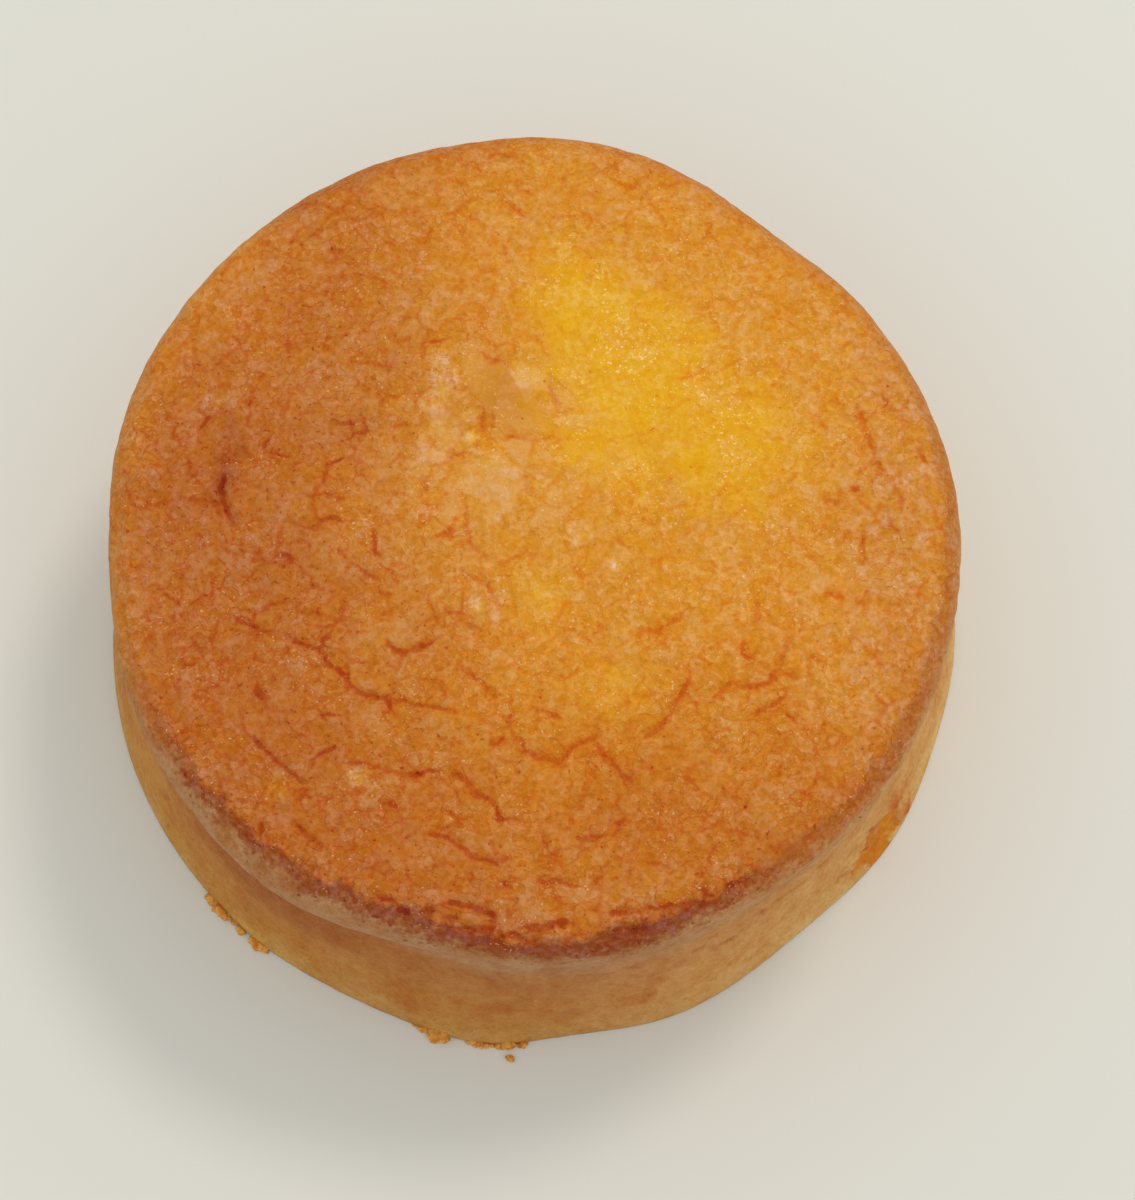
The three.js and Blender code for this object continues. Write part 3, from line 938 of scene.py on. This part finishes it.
# Flecks: dark pits of the top, pores of the skin and glints, which are painted highlights
FLECK_LEVEL = 2.7
FLECK_SHARE = 1.2
FLECK_EDGE = 1
FLECK_DETAIL = (1, 0.5)
PIT_LENGTH = 0.85
PIT_BAKE = (0.1, 0.9, 0.4, 1.05)
PIT_PATCHES = (1.8, -0.6)
PIT_SHIFT = (13, 47, 5)
PIT_TINT = (0.76, 0.42, 0.4, 1)
PORE_LENGTH = 1.1
PORE_SHIFT = (3, 71, 29)
PORE_TINT = (0.55, 0.42, 0.35, 1)
PORE_BELOW = (-6, -1)
PORE_ABOVE = (6, 3)
PORE_LEAST = 0.35
GLINT_LENGTH = 0.5
GLINT_SHIFT = (31, 17, 9)
PAINTED_GLINT_COLOUR = (1, 0.7, 0.38, 1)
GLINT_PATCHES = (-1.2, 1.4)
GLINT_MOIST = 0.5
GLINT_SHINE = (0, 1, 0.36, 0.6)

# Skin of the wall: long streaks and brown blots
STREAK_STRETCH = (1, 1, 0.6)
STREAK_TINT = (0.04, 0.1, 0.2)
STREAK_HEIGHT = 0.08
SKIN_GRIT_TINT = (0.03, 0.04, 0.06)
BLOT_STRETCH = (1, 1, 0.5)
BLOT_RANGE = (0.4, 2)
BLOT_TINT = (0.95, 0.83, 0.68, 1)

# Least that a grain leaves of each channel, the crust's gloss, and plain white
DARKEST = (0.3, 0.25, 0.1)
CRUST_ROUGHNESS = (0, 1, 0.6, 0.42)
SPECULAR_LEVEL = 0.1
WHITE = (1, 1, 1, 1)


def crust_material():
    """Baked crust: colours by place, with grains, cracks, pits, pores and painted glints finer than the
    mesh, and painted shade in the valleys, cracks, crackle and dark rim.
    """
    graph = Graph("baked_crust")
    over, rim, skin_rise = graph.parts("crust_edge")
    brown, moist, flaky = graph.parts("crust_bake")
    crack_side, crack_width, crack_colour_and_shade = graph.parts("crust_cracks")
    place = graph.place()

    # Where the wall's skin, the dark rim with its painted shade, and the dry and rough parts are
    frayed = graph.math("MULTIPLY_ADD", graph.noise(place, *FRAY_NOISE), FRAY_REACH, over)
    speckled = graph.math("MULTIPLY_ADD", graph.noise(place, *SPECKLE_NOISE), SPECKLE_REACH, over)
    wall = graph.ease(graph.math("SUBTRACT", speckled, skin_rise), *WALL_RANGE)
    dark_and_shade = graph.product(graph.ease(frayed, *DARK_RANGE), rim)
    rough = graph.ramp(graph.attribute("crust_calm", "Fac"), *CALM_ROUGHNESS)
    dry = graph.product(graph.ramp(moist, *MOIST_DRYNESS), rough)
    patch = graph.noise(place, *PATCH_NOISE)

    # Grain and lumps of the top, with painted shade in the valleys between the lumps; they show through the
    # moist yellow too
    grit = graph.noise(place, *GRIT_NOISE)
    top = graph.blend(dark_and_shade, graph.attribute("crust_colour", "Color"), (*to_linear(RIM_BROWN_AND_SHADE), 1))
    top = graph.tinted(top, graph.noise(place, *MOTTLE_NOISE), MOTTLE_TINT)
    top = graph.tinted(top, grit, GRIT_TINT)
    open_here = graph.product(graph.ease(patch, *VALLEY_PATCHES), dry)
    valley_shade_tint = graph.blend(brown, VALLEY_SHADE_ORANGE, VALLEY_SHADE_BROWN)
    relief = 0
    swell = 0
    grain = (1, 1, 1)
    for i, (length, tall, share, strength) in enumerate(LUMPS):
        tone, valley = graph.lumps(place, [i * step for step in LUMP_STEP], length)
        valley = graph.product(valley, open_here, strength)
        # Tones make the tops paler and the dips darker, partly painted light and shade, and the valleys get
        # painted shade
        grain = graph.tinted(grain, tone, share)
        grain = graph.stained(grain, valley, valley_shade_tint)
        relief = graph.math("MULTIPLY_ADD", tone, tall, relief)
        relief = graph.math("MULTIPLY_ADD", valley, -VALLEY_DEPTH, relief)
        swell = graph.math("ADD", tone, swell)
    grain = graph.blend(rough, WHITE, grain)
    relief = graph.product(relief, rough)
    soaked = graph.product(moist, graph.math("MULTIPLY_ADD", swell, -MOIST_SPREAD, MOIST_FULL))
    wet = graph.stained(to_linear(MOIST_YELLOW), MOIST_GRAIN, grain)
    top = graph.blend(soaked, graph.vector("MULTIPLY", top, grain), wet)

    # Long cracks, their colour partly painted shade in the grooves
    shake = graph.math("MULTIPLY", graph.noise(place, *SHAKE_NOISE), CRACK_SHAKE)
    offset = graph.math("ABSOLUTE", graph.math("ADD", crack_side, shake))
    inside = graph.math("SUBTRACT", crack_width, offset)
    cracked = graph.product(crack_colour_and_shade, dry)
    crack = graph.product(graph.ease(inside, *CRACK_SOFTNESS), cracked)
    top = graph.stained(top, graph.product(graph.ease(inside, *CRACK_HALO), cracked), HALO_TINT)
    top = graph.stained(top, crack, graph.blend(brown, CRACK_ORANGE_AND_SHADE, CRACK_TINT_AND_SHADE))

    # Pale plates and the crackle between plates, darkened partly with painted shade
    crackle_tint_and_shade = graph.blend(brown, CRACKLE_ORANGE_AND_SHADE, CRACKLE_BROWN_AND_SHADE)
    for i, (spacing, width, strength, paleness) in enumerate(PLATES):
        border, chance = graph.plates(place, spacing)
        within = graph.ease(border, *PLATE_EDGE)
        pale = graph.product(graph.ease(chance, *PLATE_CHANCE), within, flaky, paleness)
        top = graph.blend(pale, top, (*to_linear(PLATE_PALE), 1))
        shifted = graph.vector("ADD", place, [(i + 1) * step for step in PLATE_SHIFT])
        broken = graph.ease(graph.noise(shifted, *BREAK_NOISE), *CRACKLE_BREAKS)
        line = graph.product(graph.ease(border, width, 0), broken, dry, strength)
        top = graph.stained(top, line, crackle_tint_and_shade)

    # Pits of the top, and glints that are painted highlights: pale flecks in the colour
    pits = graph.product(graph.ramp(brown, *PIT_BAKE), graph.ease(patch, *PIT_PATCHES))
    top = graph.stained(top, graph.flecks(place, PIT_SHIFT, PIT_LENGTH, pits), PIT_TINT)
    painted_glints = graph.math("MULTIPLY_ADD", moist, GLINT_MOIST, graph.ease(patch, *GLINT_PATCHES))
    painted_glint = graph.flecks(place, GLINT_SHIFT, GLINT_LENGTH, painted_glints)
    top = graph.blend(graph.product(painted_glint, graph.ramp(moist, *GLINT_SHINE)), top, PAINTED_GLINT_COLOUR)

    # Skin of the wall
    streak = graph.noise(graph.vector("MULTIPLY", place, STREAK_STRETCH), *STREAK_NOISE)
    skin = graph.tinted(graph.attribute("skin_colour", "Color"), streak, STREAK_TINT)
    skin = graph.tinted(skin, grit, SKIN_GRIT_TINT)
    blots = graph.noise(graph.vector("MULTIPLY", place, BLOT_STRETCH), *BLOT_NOISE)
    skin = graph.stained(skin, graph.ease(blots, *BLOT_RANGE), BLOT_TINT)

    # Pores of the skin and the dark rim, most of them by the lip
    by_lip = graph.product(graph.ease(over, *PORE_BELOW), graph.ease(over, *PORE_ABOVE))
    pores = graph.product(graph.math("MAXIMUM", by_lip, PORE_LEAST), graph.math("MAXIMUM", wall, dark_and_shade))
    pore = graph.flecks(place, PORE_SHIFT, PORE_LENGTH, pores)
    colour = graph.stained(graph.blend(wall, top, skin), pore, PORE_TINT)

    # Fine relief
    grit_relief = graph.math("MULTIPLY", grit, GRIT_HEIGHT)
    relief = graph.math("MULTIPLY_ADD", crack, -CRACK_DEPTH, graph.math("ADD", relief, grit_relief))
    skin_relief = graph.math("MULTIPLY_ADD", streak, STREAK_HEIGHT, grit_relief)
    on_top = graph.math("SUBTRACT", 1, wall)
    height = graph.math("ADD", graph.product(relief, on_top), graph.product(skin_relief, wall))
    bump = graph.add("ShaderNodeBump", {"Strength": 1, "Distance": MM, "Height": height})
    return graph.finish(
        Base_Color=colour,
        Roughness=graph.ramp(moist, *CRUST_ROUGHNESS),
        Normal=bump.outputs["Normal"],
        Specular_IOR_Level=SPECULAR_LEVEL,
    )


# Crumbs: their two colours, and the noise's range from one to the other
CRUMB_ORANGE = (226, 164, 78)
CRUMB_BROWN = (204, 130, 46)
CRUMB_TONES = (-0.6, 0.6, 0, 1)
CRUMB_ROUGHNESS = 0.7


def crumb_material():
    graph = Graph("sponge_crumb")
    share = graph.ramp(graph.noise(graph.place(), *CRUMB_TONE_NOISE), *CRUMB_TONES)
    colour = graph.blend(share, (*to_linear(CRUMB_ORANGE), 1), (*to_linear(CRUMB_BROWN), 1))
    return graph.finish(Base_Color=colour, Roughness=CRUMB_ROUGHNESS, Specular_IOR_Level=SPECULAR_LEVEL)


# Pale floor: colour, roughness, half width
FLOOR_COLOUR = (224, 222, 210)
FLOOR_ROUGHNESS = 0.8
FLOOR_HALF = 1500


def floor_material():
    graph = Graph("pale_floor")
    colour = (*to_linear(FLOOR_COLOUR), 1)
    return graph.finish(Base_Color=colour, Roughness=FLOOR_ROUGHNESS, Specular_IOR_Level=SPECULAR_LEVEL)


def new_mesh(name, points, faces, material):
    """Smooth mesh from points in millimetres."""
    mesh = bpy.data.meshes.new(name)
    mesh.from_pydata((np.array(points) * MM).tolist(), [], faces)
    mesh.shade_smooth()
    mesh.materials.append(material)
    return mesh


def add_attribute(mesh, name, kind, field, values):
    """Numbers for each point, with the last used again at the middle of the base."""
    values = np.concatenate([values, values[-1:]])
    mesh.attributes.new(name, kind, "POINT").data.foreach_set(field, values.ravel())


def add_object(name, mesh):
    item = bpy.data.objects.new(name, mesh)
    bpy.context.scene.collection.objects.link(item)
    return item


def make_cake():
    surface = Surface(Profile())
    points = np.vstack([surface.points, [[0, 0, 0]]])
    details, colours = crust_fields(surface)
    mesh = new_mesh("cake", points, surface.triangles().tolist(), crust_material())
    for name, colour in colours.items():
        solid = np.column_stack([np.clip(colour, 0, 1), np.ones(len(colour))])
        add_attribute(mesh, name, "FLOAT_COLOR", "color", solid)
    calm = strongest_patch(surface, CALM_PLATES, CALM_EDGE_NOISE, CALM_EDGE)
    add_attribute(mesh, "crust_calm", "FLOAT", "value", calm)
    for name, values in details.items():
        add_attribute(mesh, name, "FLOAT_VECTOR", "vector", values)
    cake = add_object("cake", mesh)
    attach(cake, "root")
    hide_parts(NODE)


# Crumbs at the base edge: angles of each trail's ends, number of crumbs, size, distance out
CRUMB_TRAILS = [
    (221.5, 225.2, 6, 2.4, 0.2), (226, 228.4, 3, 1.7, 0.2), (229.6, 231.2, 4, 2.2, 0.3),
    (253.8, 254.2, 1, 1.2, 0.4), (255.3, 258.2, 5, 2.6, 0.3), (261.5, 268.8, 15, 1.9, 0.15),
    (266.8, 267.2, 2, 1.2, 1.4),
]
CRUMB_SEED = 12
CRUMB_FACETS = 3
CRUMB_BUMP_STEP = 40
CRUMB_FLATNESS = 0.55
CRUMB_SPACING = (0.1, 0.9)
CRUMB_SIZES = (0.35, 1)
CRUMB_OUT = (0, 2)
CRUMB_STRETCH = (0.7, 1.3)


def make_crumbs():
    """Small torn lumps of sponge on the floor along the base edge, joined in one mesh."""
    rng = np.random.default_rng(CRUMB_SEED)
    ball = bmesh.new()
    bmesh.ops.create_icosphere(ball, subdivisions=CRUMB_FACETS, radius=1)
    shell = np.array([vertex.co for vertex in ball.verts])
    shell_faces = np.array([[vertex.index for vertex in face.verts] for face in ball.faces])
    ball.free()
    points, faces = [], []
    for start, end, count, largest, out in CRUMB_TRAILS:
        for share in (np.arange(count) + rng.uniform(*CRUMB_SPACING, count)) / count:
            size = largest * rng.uniform(*CRUMB_SIZES) / 2
            at = start + share * (end - start)
            radius = BASE_RADIUS + swelling(BASE_SWELLS, at) + out * rng.uniform(*CRUMB_OUT)
            bumps = layered_noise(shell + CRUMB_BUMP_STEP * len(points), *CRUMB_NOISE)
            lump = shell * (1 + bumps)[:, None] * rng.uniform(*CRUMB_STRETCH, 3) * size
            lump[:, 2] *= CRUMB_FLATNESS
            turn = math.radians(at)
            lump += (radius * math.cos(turn), radius * math.sin(turn), -lump[:, 2].min())
            faces.append(shell_faces + len(shell) * len(points))
            points.append(lump)
    mesh = new_mesh("crumbs", np.vstack(points), np.vstack(faces).tolist(), crumb_material())
    crumbs = add_object("crumbs", mesh)
    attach(crumbs, "root")


def make_floor():
    corners = [(FLOOR_HALF * x, FLOOR_HALF * y, 0) for x, y in ((-1, -1), (1, -1), (1, 1), (-1, 1))]
    mesh = new_mesh("floor", corners, [(0, 1, 2, 3)], floor_material())
    add_object("floor", mesh)


# Camera: the photo's view, from above the near side
VIEW_ELEVATION = math.radians(73.9)
VIEW_DISTANCE = 0.5739
VIEW_TARGET = (0.00583, -0.01083, 0.05255)
LENS = 105
SENSOR = 36
CLIP_START = 0.01


def make_camera():
    camera = bpy.data.cameras.new("camera")
    camera.lens = LENS
    camera.sensor_width = SENSOR
    camera.clip_start = CLIP_START
    viewer = add_object("camera", camera)
    x, y, z = VIEW_TARGET
    back = VIEW_DISTANCE * math.cos(VIEW_ELEVATION)
    viewer.location = (x, y - back, z + VIEW_DISTANCE * math.sin(VIEW_ELEVATION))
    viewer.rotation_euler = (math.pi / 2 - VIEW_ELEVATION, 0, 0)
    bpy.context.scene.camera = viewer


# Light: a bright even room and one soft lamp behind the right
ROOM_COLOUR = (0.955, 1, 1.03, 1)
ROOM_STRENGTH = 0.845
LAMP_PLACE = (0.56, 0.70, 1.56)
LAMP_SIZE = 0.4
LAMP_POWER = 6.2
LAMP_COLOUR = (1.13, 0.985, 0.93)


def make_light():
    scene = bpy.context.scene
    scene.view_settings.view_transform = "Standard"
    world = bpy.data.worlds.new("studio")
    world.use_nodes = True
    background = world.node_tree.nodes["Background"]
    background.inputs["Color"].default_value = ROOM_COLOUR
    background.inputs["Strength"].default_value = ROOM_STRENGTH
    scene.world = world
    light = bpy.data.lights.new("lamp", "AREA")
    light.shape = "DISK"
    light.size = LAMP_SIZE
    light.energy = LAMP_POWER
    light.color = LAMP_COLOUR
    lamp = add_object("lamp", light)
    lamp.location = LAMP_PLACE
    lamp.rotation_euler = (-lamp.location).to_track_quat("-Z", "Y").to_euler()


make_cake()
make_crumbs()
make_floor()
make_camera()
make_light()
